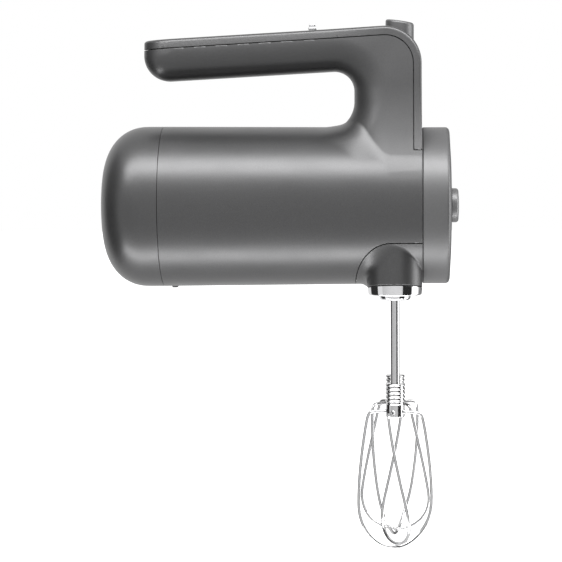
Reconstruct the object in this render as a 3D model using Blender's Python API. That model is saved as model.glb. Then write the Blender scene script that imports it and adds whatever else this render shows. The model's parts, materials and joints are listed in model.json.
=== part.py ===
"""A cordless hand mixer with two wire beaters.

+X points to the nose, +Z to the handle and +Y to the mixer's left. The origin is the centre of
the flat heel that the mixer stands on, on the axis of the barrel. Lengths below are millimetres,
and the helpers make the meshes in metres.
"""

import math

import bmesh
import bpy
from mathutils import Matrix, Vector

MM = 0.001
MERGE = 1e-6  # metres: points this close are one
WELD = 5e-6  # metres: the same, after a Boolean
SEAM = 0.3  # gap between neighbouring pieces
WALL = 2.3  # moulded walls
FAR = 80.0  # beyond any part of the body

# Barrel
REAR_SEAM_X = 37.5
FRONT_SEAM_X = 196.7
BARREL_REAR_R = 49.3
BARREL_FRONT_R = 48.05
HEEL_R = 17.0  # flat disc that the mixer stands on
DOME_LENGTH = 27.5
DOME_POWER = 2.15
LIP = 3.5  # spigot of the rear cap inside the barrel

# Handle and column, in the XZ plane
SLOPE = math.radians(3.0)
CORNER = (172.0, 85.6)
CORNER_R = 24.0
HANDLE_REAR_X = 25.3
HANDLE_REAR_R = 2.5
HEEL_OF_GRIP = (42.3, 94.05)
HEEL_OF_GRIP_R = 17.0
SLOT_TOP = (142.0, 69.3)
SLOT_TOP_R = 13.0
SLOT_FOOT = (137.0, 67.0)
SLOT_FOOT_R = 18.0
COLUMN_FOOT_Z = 25.0
HANDLE_HALF_WIDTH = 17.5
GRIP_BEVEL = 7.0
GRIP_MIDDLE_Z = 94.5

# Top cover and nose cover, cut from the body
COVER_DEPTH = 5.6
COVER_REAR_X = 191.0
COVER_FOOT_Z = 34.5
NOSE_REAR_X = 155.5
NOSE_ARCH = (177.1, -48.5)
NOSE_TOP_Z = -21.4

# Drive: one worm on the barrel's axis between two wheels
BEATER_X = 179.5
BEATER_Y = 24.8
TEETH = 28
STARTS = 2
AXIAL_PITCH = 4.0
LEAD = STARTS * AXIAL_PITCH
WHEEL_PITCH_R = TEETH * AXIAL_PITCH / (2 * math.pi)
WORM_PITCH_R = BEATER_Y - WHEEL_PITCH_R
WORM_ROOT_R = 5.0
WORM_TIP_R = 8.6
WORM_HALF_LENGTH = 12.0
WHEEL_HALF_WIDTH = 4.0
SPINDLE_R = 5.0
SPINDLE_BORE_R = 3.05
SPINDLE_TOP_Z = 11.5

# Nose
BOSS_R = 17.0
NOSE_FACE_Z = -49.0
COLLAR_FOOT_Z = -53.4
HUB_FOOT_Z = -56.6
HUB_R = 9.6

# Beaters
SHAFT_R = 2.75
SHAFT_TOP_Z = 5.0
SLEEVE_TOP_Z = -107.4
SLEEVE_FOOT_Z = -128.2
SLEEVE_R = 6.1
WIRE_R = 1.05
WIRE_EXIT_Z = -124.8
WIRE_END_R = 3.9  # where a wire ends inside the sleeve
CAGE_R = 23.2
CAGE_WIDEST_Z = -183.0
CAGE_FOOT_Z = -208.25  # centre of the wire at the crossing
CAGE_TWIST = math.radians(45.0)
LOOP_STEP = 2.4  # the inner loop passes this far above the outer one
TURN = {"left": math.radians(33.0), "right": math.radians(-14.7)}  # of each cage

# Ejector and speed slider
EJECTOR_X = 182.8
EJECTOR_R = 8.65
EJECTOR_TRAVEL = 5.0
SLIDER_X = 129.5
SLIDER_TRAVEL = 32.0

# Charging port under the barrel
FLAP_X = (41.1, 61.7)
FLAP_HALF_WIDTH = 6.7
FLAP_HINGE = (61.9, -49.1)

LENS_X = 112.0
FRAME_SCREWS = [(162, 33), (162, -33), (192, 33), (192, -33)]
MOTOR_SCREWS = (12, -12)

SIDES = {"left": 1, "right": -1}


# ---------------------------------------------------------------- materials


def material(name, colour, roughness, metallic=0.0):
    made = bpy.data.materials.new(name)
    made.use_nodes = True
    made.diffuse_color = (*colour, 1.0)
    shader = made.node_tree.nodes["Principled BSDF"]
    shader.inputs["Base Color"].default_value = (*colour, 1.0)
    shader.inputs["Roughness"].default_value = roughness
    shader.inputs["Metallic"].default_value = metallic
    return made


def materials():
    return {
        "body": material("charcoal_satin", (0.13, 0.13, 0.135), 0.38, 0.35),
        "trim": material("charcoal_trim", (0.16, 0.16, 0.165), 0.45),
        "chrome": material("chrome", (0.85, 0.85, 0.86), 0.06, 1.0),
        "steel": material("polished_steel", (0.72, 0.72, 0.73), 0.18, 1.0),
        "machined": material("machined_steel", (0.5, 0.5, 0.52), 0.35, 1.0),
        "bronze": material("sintered_bronze", (0.55, 0.38, 0.2), 0.45, 1.0),
        "nylon": material("white_nylon", (0.8, 0.79, 0.74), 0.5),
        "black": material("black_plastic", (0.03, 0.03, 0.032), 0.5),
        "cast": material("cast_alloy", (0.6, 0.6, 0.61), 0.5, 1.0),
        "magnet": material("ferrite", (0.08, 0.08, 0.09), 0.6),
        "copper": material("copper", (0.72, 0.4, 0.25), 0.35, 1.0),
        "cell": material("cell_wrap", (0.1, 0.3, 0.5), 0.4),
        "board": material("circuit_board", (0.03, 0.2, 0.1), 0.45),
        "rubber": material("grey_rubber", (0.1, 0.1, 0.1), 0.8),
        "lens": material("clear_lens", (0.75, 0.78, 0.8), 0.1),
    }


# ---------------------------------------------------------------- mesh helpers


def spun(profile, segments, along_x=False):
    """A turned solid about Z, or about X, from (radius, height) points in order."""
    bm = bmesh.new()
    verts = [bm.verts.new((r * MM, 0, h * MM)) for r, h in profile]
    edges = [bm.edges.new(pair) for pair in zip(verts, verts[1:])]
    if profile[0][0] > 0 or profile[-1][0] > 0:
        edges.append(bm.edges.new((verts[-1], verts[0])))
    bmesh.ops.spin(
        bm,
        geom=verts + edges,
        cent=(0, 0, 0),
        axis=(0, 0, 1),
        angle=2 * math.pi,
        steps=segments,
        use_merge=True,
    )
    bmesh.ops.remove_doubles(bm, verts=bm.verts, dist=MERGE)
    if along_x:
        bmesh.ops.rotate(bm, verts=bm.verts, matrix=Matrix.Rotation(math.pi / 2, 3, "Y"))
    bmesh.ops.recalc_face_normals(bm, faces=bm.faces)
    return bm


def tube(inner, outer, low, high, segments, along_x=False):
    profile = [(inner, low), (outer, low), (outer, high), (inner, high)]
    return spun(profile, segments, along_x)


def rod(radius, low, high, segments, along_x=False):
    return spun([(0, low), (radius, low), (radius, high), (0, high)], segments, along_x)


def prism(outline, half_width):
    """A solid from an outline in the XZ plane, the same on both sides of Y = 0."""
    bm = bmesh.new()
    face = bm.faces.new([bm.verts.new((x * MM, -half_width * MM, z * MM)) for x, z in outline])
    grown = bmesh.ops.extrude_face_region(bm, geom=[face])
    moved = [v for v in grown["geom"] if isinstance(v, bmesh.types.BMVert)]
    bmesh.ops.translate(bm, verts=moved, vec=(0, 2 * half_width * MM, 0))
    bmesh.ops.recalc_face_normals(bm, faces=bm.faces)
    return bm


def block(x, y, z):
    """A box from its (low, high) along each axis."""
    bm = bmesh.new()
    size = [(high - low) * MM for low, high in (x, y, z)]
    middle = [(high + low) / 2 * MM for low, high in (x, y, z)]
    bmesh.ops.create_cube(bm, size=1, matrix=Matrix.Translation(middle) @ Matrix.Diagonal((*size, 1)))
    return bm


def moved(bm, x=0.0, y=0.0, z=0.0):
    bmesh.ops.translate(bm, verts=bm.verts, vec=(x * MM, y * MM, z * MM))
    return bm


def turned(bm, angle, axis):
    bmesh.ops.rotate(bm, verts=bm.verts, matrix=Matrix.Rotation(angle, 3, axis))
    return bm


def as_object(name, bm):
    mesh = bpy.data.meshes.new(name)
    bm.to_mesh(mesh)
    bm.free()
    obj = bpy.data.objects.new(name, mesh)
    bpy.context.scene.collection.objects.link(obj)
    return obj


def combine(target, operation, *tools):
    """Adds, cuts or keeps the common part of the target and each tool in turn."""
    for bm in tools:
        tool = as_object("tool", bm)
        modifier = target.modifiers.new("combine", "BOOLEAN")
        modifier.operation = operation
        modifier.solver = "EXACT"
        modifier.object = tool
        graph = bpy.context.evaluated_depsgraph_get()
        mesh = bpy.data.meshes.new_from_object(target.evaluated_get(graph))
        target.modifiers.clear()
        target.data = mesh
        bpy.data.objects.remove(tool)
        weld(mesh)
    return target


def weld(mesh):
    """Makes points that a Boolean left almost together one, and drops faces with no area."""
    bm = bmesh.new()
    bm.from_mesh(mesh)
    bmesh.ops.remove_doubles(bm, verts=bm.verts, dist=WELD)
    bmesh.ops.dissolve_degenerate(bm, edges=bm.edges, dist=WELD)
    bm.to_mesh(mesh)
    bm.free()


def finish(obj, paint, parent=None, at=(0, 0, 0), smooth=30.0):
    obj.data.materials.clear()
    obj.data.materials.append(paint)
    obj.location = Vector(at) * MM
    obj.parent = parent
    obj.data.shade_smooth()
    obj.data.set_sharp_from_angle(angle=math.radians(smooth))
    return obj


def axis_empty(name, at, parent=None):
    empty = bpy.data.objects.new(name, None)
    empty.location = Vector(at) * MM
    empty.parent = parent
    bpy.context.scene.collection.objects.link(empty)
    return empty


def arc(centre, radius, start, end, steps):
    """Points on an arc, from one angle in degrees to another."""
    points = []
    for i in range(steps + 1):
        angle = math.radians(start + (end - start) * i / steps)
        points.append((centre[0] + radius * math.cos(angle), centre[1] + radius * math.sin(angle)))
    return points


def inset(outline, distance):
    """The outline moved inwards by a distance, with mitred corners. Negative moves it out."""
    count = len(outline)
    area = sum(
        outline[i - 1][0] * outline[i][1] - outline[i][0] * outline[i - 1][1] for i in range(count)
    )
    sign = 1 if area > 0 else -1
    points = []
    for i in range(count):
        here = Vector(outline[i])
        before = (here - Vector(outline[i - 1])).normalized()
        after = (Vector(outline[(i + 1) % count]) - here).normalized()
        normal_a = Vector((-before.y, before.x)) * sign
        normal_b = Vector((-after.y, after.x)) * sign
        mitre = (normal_a + normal_b).normalized()
        moved_to = here + mitre * distance / max(0.3, mitre.dot(normal_a))
        points.append((moved_to.x, moved_to.y))
    return points


# ---------------------------------------------------------------- outlines


def handle_outline(inwards=0.0, foot=COLUMN_FOOT_Z):
    """The handle and its column seen from the side."""
    lean = math.degrees(SLOPE)
    rear_z = CORNER[1] + CORNER_R / math.cos(SLOPE) - (CORNER[0] - HANDLE_REAR_X) * math.tan(SLOPE)
    rear = (HANDLE_REAR_X + HANDLE_REAR_R, rear_z - HANDLE_REAR_R)
    front_x = CORNER[0] + CORNER_R
    points = arc(rear, HANDLE_REAR_R, 180, 90 + lean, 2)
    points += arc(CORNER, CORNER_R, 90 + lean, 0, 8)
    points += [(front_x, foot), (SLOT_FOOT[0], foot)]
    points += arc(SLOT_FOOT, SLOT_FOOT_R, -90, 0, 5)
    points += arc(SLOT_TOP, SLOT_TOP_R, 0, 90 + lean, 5)
    points += arc(HEEL_OF_GRIP, HEEL_OF_GRIP_R, 270 + lean, 180, 6)
    return inset(points, inwards) if inwards else points


def cover_outline(outwards=0.0):
    """The region of the body that the top cover takes: the handle's top and the column's front."""
    lean = math.degrees(SLOPE)
    inner_r = CORNER_R - COVER_DEPTH - outwards
    left = 15.0
    tangent = CORNER[1] + inner_r / math.cos(SLOPE) - (CORNER[0] - left) * math.tan(SLOPE)
    points = [(left, tangent)]
    points += arc(CORNER, inner_r, 90 + lean, 0, 8)
    points[-1] = (COVER_REAR_X - outwards, CORNER[1])
    foot = COVER_FOOT_Z - outwards
    points += [(COVER_REAR_X - outwards, foot), (205, foot), (205, 125), (left, 125)]
    return points


def nose_outline(outwards=0.0):
    """The region of the barrel that the nose cover takes."""
    across = NOSE_ARCH[0] - NOSE_REAR_X + outwards
    up = NOSE_TOP_Z - NOSE_ARCH[1] + outwards
    points = [(NOSE_REAR_X - outwards, -FAR)]
    for x, z in arc((0, 0), 1.0, 180, 90, 6):
        points.append((NOSE_ARCH[0] + across * x, NOSE_ARCH[1] + up * z))
    points += [(205, NOSE_TOP_Z + outwards), (205, -FAR)]
    return points


def dome(length, flat_r, side_r, start_x, steps):
    """The rounded rear of the barrel, as (radius, x) points from the heel to the side."""
    points = []
    for i in range(steps + 1):
        t = (1 - math.cos(math.pi / 2 * i / steps)) if i < steps else 1.0
        rise = (1 - (1 - t) ** DOME_POWER) ** (1 / DOME_POWER)
        points.append((flat_r + (side_r - flat_r) * rise, start_x + length * t))
    return points


# ---------------------------------------------------------------- body shells


def body_shell():
    """The barrel, column and handle as one hollow moulding, before it is cut into pieces."""
    ends = 8.0
    taper = (BARREL_REAR_R - BARREL_FRONT_R) / (FRONT_SEAM_X - REAR_SEAM_X)
    barrel = [
        (0, REAR_SEAM_X),
        (BARREL_REAR_R, REAR_SEAM_X),
        (BARREL_FRONT_R, FRONT_SEAM_X),
        (0, FRONT_SEAM_X),
    ]
    cavity = [
        (0, REAR_SEAM_X - ends),
        (BARREL_REAR_R - WALL + taper * ends, REAR_SEAM_X - ends),
        (BARREL_FRONT_R - WALL - taper * ends, FRONT_SEAM_X + ends),
        (0, FRONT_SEAM_X + ends),
    ]
    shell = as_object("shell", spun(barrel, 56, along_x=True))
    handle = prism(handle_outline(), HANDLE_HALF_WIDTH)
    soften_grip(handle)
    combine(shell, "UNION", handle)
    combine(shell, "DIFFERENCE", spun(cavity, 56, along_x=True))
    inner = prism(handle_outline(WALL, foot=20.0), HANDLE_HALF_WIDTH - WALL)
    soften_grip(inner)
    combine(shell, "DIFFERENCE", inner)
    return shell


def soften_grip(bm):
    """Rounds the long edges under the handle and round the finger gap."""
    low = (COLUMN_FOOT_Z + 5) * MM
    column_x = SLOT_TOP[0] + SLOT_TOP_R + 4
    edges = []
    for edge in bm.edges:
        a, b = (v.co for v in edge.verts)
        on_side = abs(a.y - b.y) < MERGE
        at_gap = max(a.z, b.z) < GRIP_MIDDLE_Z * MM and max(a.x, b.x) < column_x * MM
        if on_side and at_gap and min(a.z, b.z) > low:
            edges.append(edge)
    bmesh.ops.bevel(bm, geom=edges, offset=GRIP_BEVEL * MM, segments=2, profile=0.5, affect="EDGES")


def piece_of(shell, name, keep=(), lose=()):
    piece = as_object(name, bmesh_copy(shell))
    combine(piece, "INTERSECT", *keep)
    combine(piece, "DIFFERENCE", *lose)
    return piece


def bmesh_copy(obj):
    bm = bmesh.new()
    bm.from_mesh(obj.data)
    return bm


def slab(x=(-FAR, 3 * FAR), y=(-FAR, FAR), z=(-2 * FAR, 2 * FAR)):
    return block(x, y, z)


def make_shells(paint):
    shell = body_shell()
    halves = {}
    for side, sign in SIDES.items():
        half = slab(y=(SEAM / 2, FAR)) if sign > 0 else slab(y=(-FAR, -SEAM / 2))
        window = slab(
            (FLAP_X[0] - SEAM, FLAP_X[1] + SEAM),
            (-FLAP_HALF_WIDTH - SEAM, FLAP_HALF_WIDTH + SEAM),
            (-60, -40),
        )
        front = slab(x=(FRONT_SEAM_X - SEAM, FAR * 3))
        halves[side] = piece_of(
            shell,
            f"housing_{side}",
            keep=[half],
            lose=[prism(cover_outline(SEAM), FAR), prism(nose_outline(SEAM), FAR), window, front],
        )
        finish(halves[side], paint["body"])
    cover = piece_of(shell, "top_cover", keep=[prism(cover_outline(), FAR)])
    combine(cover, "DIFFERENCE", slab(x=(FRONT_SEAM_X - SEAM, FAR * 3)))
    post_hole = moved(rod(EJECTOR_R + 0.35, 83, 130, 24), EJECTOR_X)
    slot_x = (SLIDER_X - 1.9, SLIDER_X + 1.9 + SLIDER_TRAVEL)
    slider_slot = block(slot_x, (-2.2, 2.2), (98, 125))
    lens_hole = moved(rod(2.0, 98, 125, 12), LENS_X)
    combine(cover, "DIFFERENCE", post_hole, slider_slot, lens_hole)
    finish(cover, paint["body"])
    make_nose_cover(shell, paint)
    flap = piece_of(
        shell,
        "charge_flap",
        keep=[slab(FLAP_X, (-FLAP_HALF_WIDTH, FLAP_HALF_WIDTH), (-60, -40))],
    )
    combine(flap, "UNION", block((41.5, 45.2), (-3, 3), (-50.2, -48)))
    shell_mesh = shell.data
    bpy.data.objects.remove(shell)
    bpy.data.meshes.remove(shell_mesh)
    hinge = axis_empty("charge_flap_axis", (FLAP_HINGE[0], 0, FLAP_HINGE[1]))
    flap.data.transform(Matrix.Translation(Vector((-FLAP_HINGE[0], 0, -FLAP_HINGE[1])) * MM))
    finish(flap, paint["rubber"], hinge)


def make_nose_cover(shell, paint):
    nose = piece_of(shell, "nose_cover", keep=[prism(nose_outline(), FAR)])
    combine(nose, "DIFFERENCE", slab(x=(FRONT_SEAM_X - SEAM, FAR * 3)))
    floor = block((166, 193), (-BEATER_Y, BEATER_Y), (NOSE_FACE_Z, -46))
    bosses = [moved(rod(BOSS_R, NOSE_FACE_Z, -24, 32), BEATER_X, s * BEATER_Y) for s in (1, -1)]
    combine(nose, "UNION", floor, *bosses)
    for sign in SIDES.values():
        y = sign * BEATER_Y
        combine(nose, "DIFFERENCE", moved(rod(BOSS_R - WALL, -46.5, -10, 32), BEATER_X, y))
        combine(nose, "UNION", moved(tube(8.3, 11.6, -48, -40, 24), BEATER_X, y))
        combine(nose, "DIFFERENCE", moved(rod(9.3, -60, -30, 24), BEATER_X, y))
    finish(nose, paint["body"])


def make_turned_covers(paint):
    rear = dome(DOME_LENGTH, HEEL_R, BARREL_REAR_R, 0, 8)
    inner = dome(DOME_LENGTH - WALL, HEEL_R - 1, BARREL_REAR_R - 2 * WALL, WALL, 6)
    end = REAR_SEAM_X - SEAM
    profile = [(0, 0), *rear, (BARREL_REAR_R, end), (BARREL_REAR_R - WALL - SEAM, end)]
    profile += [(BARREL_REAR_R - WALL - SEAM, end + LIP), (BARREL_REAR_R - 2 * WALL, end + LIP)]
    profile += [*reversed(inner), (0, WALL)]
    finish(as_object("rear_cap", spun(profile, 40, along_x=True)), paint["body"])
    front_x = 213.0
    profile = [(9, 214.4), (30, 213.9), (BARREL_FRONT_R - 2.3, front_x)]
    profile += [(BARREL_FRONT_R - 0.6, front_x - 0.7), (BARREL_FRONT_R, front_x - 2.4)]
    profile += [(BARREL_FRONT_R, FRONT_SEAM_X), (BARREL_FRONT_R - WALL, FRONT_SEAM_X)]
    profile += [(BARREL_FRONT_R - WALL, front_x - WALL), (9, front_x - WALL + 0.8)]
    finish(as_object("front_cover", spun(profile, 40, along_x=True)), paint["trim"])
    cap = [(0, 209), (8.7, 209), (8.7, 214.8), (10.5, 214.8), (10.5, 217.2), (9.2, 218.7), (0, 219)]
    finish(as_object("front_badge", spun(cap, 24, along_x=True)), paint["trim"])


# ---------------------------------------------------------------- drive


def worm_mesh():
    """A two-start right-handed worm about X: a lobed section that turns as it goes along."""
    section = []
    for start in range(STARTS):
        centre = 360 / STARTS * start
        lobe = [(-52, WORM_ROOT_R), (-32, WORM_TIP_R), (0, WORM_TIP_R), (32, WORM_TIP_R)]
        lobe += [(52, WORM_ROOT_R), (90, WORM_ROOT_R)]
        section += [(centre + angle, radius) for angle, radius in lobe]
    layers = round(2 * WORM_HALF_LENGTH / LEAD * 14)
    bm = bmesh.new()
    rings = []
    bores = []
    for i in range(layers + 1):
        x = -WORM_HALF_LENGTH + 2 * WORM_HALF_LENGTH * i / layers
        twist = math.tau * x / LEAD
        rings.append(
            [
                bm.verts.new(
                    (
                        x * MM,
                        r * math.cos(math.radians(a) + twist) * MM,
                        r * math.sin(math.radians(a) + twist) * MM,
                    )
                )
                for a, r in section
            ]
        )
        if i in (0, layers):
            bores.append(
                [
                    bm.verts.new(
                        (
                            x * MM,
                            2.8 * math.cos(math.radians(a) + twist) * MM,
                            2.8 * math.sin(math.radians(a) + twist) * MM,
                        )
                    )
                    for a, _ in section
                ]
            )
    bridge(bm, rings)
    bridge(bm, [rings[0], bores[0]])
    bridge(bm, [rings[-1], bores[1]])
    # The far bore ring is matched to the near one by angle, since the section has turned.
    bridge_by_angle(bm, bores[0], bores[1])
    bmesh.ops.recalc_face_normals(bm, faces=bm.faces)
    return bm


def bridge(bm, rings):
    for low, high in zip(rings, rings[1:]):
        for i in range(len(low)):
            bm.faces.new((low[i - 1], low[i], high[i], high[i - 1]))


def bridge_by_angle(bm, low, high):
    edges = []
    for ring in (low, high):
        for i in range(len(ring)):
            found = bm.edges.get((ring[i - 1], ring[i]))
            edges.append(found or bm.edges.new((ring[i - 1], ring[i])))
    bmesh.ops.bridge_loops(bm, edges=edges)


def wheel_mesh(facing):
    """A worm wheel about Z with a tooth gap facing the given angle, its teeth leaning to the worm."""
    lean = math.tan(LEAD / (math.tau * WORM_PITCH_R)) / WHEEL_PITCH_R * WHEEL_HALF_WIDTH
    root, tip = WHEEL_PITCH_R - 1.9, WHEEL_PITCH_R + 1.7
    half_root, half_tip = 1.05 / root, 0.45 / tip
    outline = ((root, -half_root), (tip, -half_tip), (tip, half_tip), (root, half_root))
    bm = bmesh.new()
    rings = []
    for z, twist in ((-WHEEL_HALF_WIDTH, -lean), (WHEEL_HALF_WIDTH, lean)):
        ring = []
        for tooth in range(TEETH):
            middle = facing + twist + math.tau * (tooth + 0.5) / TEETH
            for radius, offset in outline:
                across = radius * math.cos(middle + offset)
                along = radius * math.sin(middle + offset)
                ring.append(bm.verts.new((across * MM, along * MM, z * MM)))
        rings.append(ring)
    bridge(bm, rings)
    bm.faces.new(rings[0])
    bm.faces.new(rings[1])
    bmesh.ops.recalc_face_normals(bm, faces=bm.faces)
    return bm


def make_drive(paint):
    """Spindles with their wheels and hubs, and the shells that carry them."""
    spindles = {}
    for side, sign in SIDES.items():
        at = (BEATER_X, sign * BEATER_Y, 0)
        empty = axis_empty(f"spindle_{side}_axis", at)
        spindles[side] = empty
        wheel = as_object(f"worm_wheel_{side}", wheel_mesh(-sign * math.pi / 2))
        combine(wheel, "UNION", rod(8.0, -6, 6, 20))
        combine(wheel, "DIFFERENCE", rod(SPINDLE_R + SEAM, -8, 8, 20))
        finish(wheel, paint["nylon"], empty)
        shoulder = COLLAR_FOOT_Z - SEAM
        profile = [(SPINDLE_BORE_R, SPINDLE_TOP_Z), (SPINDLE_R, SPINDLE_TOP_Z), (SPINDLE_R, shoulder)]
        profile += [(HUB_R, shoulder), (HUB_R, HUB_FOOT_Z + 1.2), (HUB_R - 1, HUB_FOOT_Z)]
        profile.append((SPINDLE_BORE_R, HUB_FOOT_Z))
        finish(as_object(f"spindle_{side}", spun(profile, 20)), paint["steel"], empty)
        bushes = {
            "upper": tube(SPINDLE_R + 0.3, 7.6, -12.8, -8.6, 16),
            "lower": tube(SPINDLE_R + 0.3, 9.0, -48.7, -40, 16),
        }
        for level, bm in bushes.items():
            finish(as_object(f"{level}_bushing_{side}", moved(bm, *at)), paint["bronze"])
        top = NOSE_FACE_Z - SEAM
        profile = [(SPINDLE_R + 0.4, top), (16.7, top), (16.5, top - 2.5), (15.5, COLLAR_FOOT_Z + 0.7)]
        profile += [(14.8, COLLAR_FOOT_Z), (SPINDLE_R + 0.4, COLLAR_FOOT_Z)]
        collar = as_object(f"nose_collar_{side}", moved(spun(profile, 28), *at))
        finish(collar, paint["chrome"])
    return spindles


def make_gearbox_frame(paint):
    frame = as_object("gearbox_frame", block((155, 195.8), (-37, 37), (9.4, 12)))
    combine(frame, "UNION", block((155, 195.8), (-37, 37), (-12, -9.4)))
    combine(frame, "UNION", block((155, 158.5), (-37, 37), (-11, 11)))
    combine(frame, "UNION", block((192.3, 195.8), (-9, 9), (-11, 11)))
    for sign in SIDES.values():
        hole = moved(rod(SPINDLE_R + 0.4, 0, 20, 20), BEATER_X, sign * BEATER_Y)
        seat = moved(rod(7.9, -20, 0, 20), BEATER_X, sign * BEATER_Y)
        combine(frame, "DIFFERENCE", hole, seat)
    combine(frame, "DIFFERENCE", rod(6.0, 190, 200, 20, along_x=True))
    combine(frame, "DIFFERENCE", rod(8.0, 150, 160, 20, along_x=True))
    combine(frame, "DIFFERENCE", moved(rod(3.5, 0, 20, 16), EJECTOR_X))
    for x, y in FRAME_SCREWS:
        combine(frame, "DIFFERENCE", moved(rod(1.5, 5, 20, 10), x, y))
    for y in MOTOR_SCREWS:
        combine(frame, "DIFFERENCE", moved(rod(1.5, 150, 160, 10, along_x=True), 0, y))
    finish(frame, paint["cast"])


def pan_screw(length, along_x=False):
    profile = [(0, -length), (1.2, -length), (1.2, 0), (2.5, 0), (2.5, 1.1), (1.5, 1.8), (0, 1.8)]
    return spun(profile, 10, along_x)


def make_screws(paint):
    for i, (x, y) in enumerate(FRAME_SCREWS):
        screw = as_object(f"frame_screw_{i + 1}", moved(pan_screw(4), x, y, 12 + SEAM))
        finish(screw, paint["machined"])
    for i, y in enumerate(MOTOR_SCREWS):
        bm = moved(pan_screw(6, along_x=True), 158.5 + SEAM, y)
        finish(as_object(f"motor_screw_{i + 1}", bm), paint["machined"])


def make_motor(paint):
    can = spun([(22, 95), (22, 150), (20.5, 150), (20.5, 96.6), (6, 96.6), (6, 95)], 28, along_x=True)
    finish(as_object("motor_can", can), paint["machined"])
    bell = as_object("motor_end_bell", tube(8, 22, 150.3, 154.6, 28, along_x=True))
    for y in MOTOR_SCREWS:
        combine(bell, "DIFFERENCE", moved(rod(1.5, 152, 160, 10, along_x=True), 0, y))
    finish(bell, paint["cast"])
    finish(as_object("magnet_ring", tube(17.8, 20.2, 104, 144, 24, along_x=True)), paint["magnet"])
    rotor = axis_empty("motor_axis", (0, 0, 0))
    finish(as_object("motor_shaft", rod(2.5, 90, 197, 14, along_x=True)), paint["steel"], rotor)
    core = as_object("rotor_core", tube(2.8, 17.3, 108, 140, 24, along_x=True))
    for i in range(5):
        angle = math.tau * i / 5
        slot = turned(block((100, 150), (-2.2, 2.2), (7, 30)), angle, "X")
        combine(core, "DIFFERENCE", slot)
    finish(core, paint["machined"], rotor)
    finish(as_object("commutator", tube(2.8, 6.5, 98.5, 106, 14, along_x=True)), paint["copper"], rotor)
    worm = moved(worm_mesh(), BEATER_X)
    finish(as_object("worm", worm), paint["steel"], rotor)
    for i, sign in enumerate(SIDES.values()):
        low, high = sorted((sign * 6.9, sign * 16.5))
        brush = block((99.5, 103), (low, high), (-2, 2))
        finish(as_object(f"motor_brush_{i + 1}", brush), paint["magnet"])
    rear = tube(2.8, 5.6, 92, 95.9, 16, along_x=True)
    finish(as_object("rear_bearing", rear), paint["bronze"])
    front = tube(2.8, 5.7, 192.3, 195.8, 16, along_x=True)
    finish(as_object("front_bearing", front), paint["bronze"])


# ---------------------------------------------------------------- battery and electronics


def make_electrics(paint):
    case = spun([(0, 81), (23, 81), (23, 10), (21, 10), (21, 79), (0, 79)], 28, along_x=True)
    finish(as_object("battery_case", case), paint["black"])
    for i in range(3):
        angle = math.tau * (i + 0.25) / 3
        cell = moved(rod(9.2, 12, 77, 16, along_x=True), 0, 11 * math.cos(angle), 11 * math.sin(angle))
        finish(as_object(f"battery_cell_{i + 1}", cell), paint["cell"])
    board = as_object("control_board", block((88, 146), (-21, 21), (32, 33.6)))
    combine(board, "UNION", block((94, 108), (-14, -2), (33, 38)))
    combine(board, "UNION", block((120, 130), (2, 14), (33, 37)))
    finish(board, paint["board"])
    board = as_object("switch_board", block((-45, 45), (-9, 9), (-0.8, 0.8)))
    combine(board, "UNION", block((10, 22), (-5, 5), (0, 4)))
    finish(board, paint["board"], at=(105, 0, 92))
    board.rotation_euler.y = -SLOPE
    socket = as_object("charge_socket", block((45, 57), (-6, 6), (-46, -39)))
    combine(socket, "DIFFERENCE", block((49.4, 52.6), (-4.45, 4.45), (-60, -40.5)))
    finish(socket, paint["black"])
    lens = moved(rod(1.7, 101.0, handle_top_z(LENS_X) + 0.1, 12), LENS_X)
    finish(as_object("indicator_lens", lens), paint["lens"])


def handle_top_z(x):
    return CORNER[1] + CORNER_R / math.cos(SLOPE) - (CORNER[0] - x) * math.tan(SLOPE)


# ---------------------------------------------------------------- controls


def make_slider(paint):
    """The speed slider: a ribbed tab on the handle, its stem and a carriage under the cover."""
    top = handle_top_z(SLIDER_X)
    empty = axis_empty("speed_slide_axis", (SLIDER_X, 0, top))
    empty.rotation_euler.y = -SLOPE
    tab = as_object("speed_slider", block((-2.5, 2.5), (-6, 6), (0.4, 2.1)))
    combine(tab, "UNION", block((-2.1, 2.1), (-5.4, 5.4), (1.5, 4.3)))
    combine(tab, "UNION", block((-1.5, 1.5), (-1.8, 1.8), (-4.8, 1)))
    finish(tab, paint["chrome"], empty)
    carriage = as_object("slider_carriage", block((-7, 7), (-8, 8), (-5.4, -2.9)))
    combine(carriage, "DIFFERENCE", block((-1.8, 1.8), (-2.1, 2.1), (-8, 0)))
    finish(carriage, paint["black"], empty)


def make_ejector(paint):
    empty = axis_empty("ejector_axis", (EJECTOR_X, 0, 0))
    button = as_object("ejector_button", rod(EJECTOR_R, 90, 118, 28))
    slant = turned(block((-30, 30), (-30, 30), (0, 20)), math.radians(8.4), "Y")
    combine(button, "DIFFERENCE", moved(slant, 0, 0, 113.4))
    combine(button, "DIFFERENCE", rod(3.4, 85, 96, 14))
    finish(button, paint["body"], empty)
    push = as_object("ejector_rod", rod(3.0, 14.5, 95.5, 14))
    pin_foot = SHAFT_TOP_Z + EJECTOR_TRAVEL + 0.5
    offset = BEATER_X - EJECTOR_X
    combine(push, "UNION", block((offset - 3, 3.4), (-27.5, 27.5), (20, 23.5)))
    for sign in SIDES.values():
        combine(push, "UNION", moved(rod(2.2, pin_foot, 21, 12), offset, sign * BEATER_Y))
    finish(push, paint["machined"], empty)
    make_spring(paint, empty)


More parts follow.
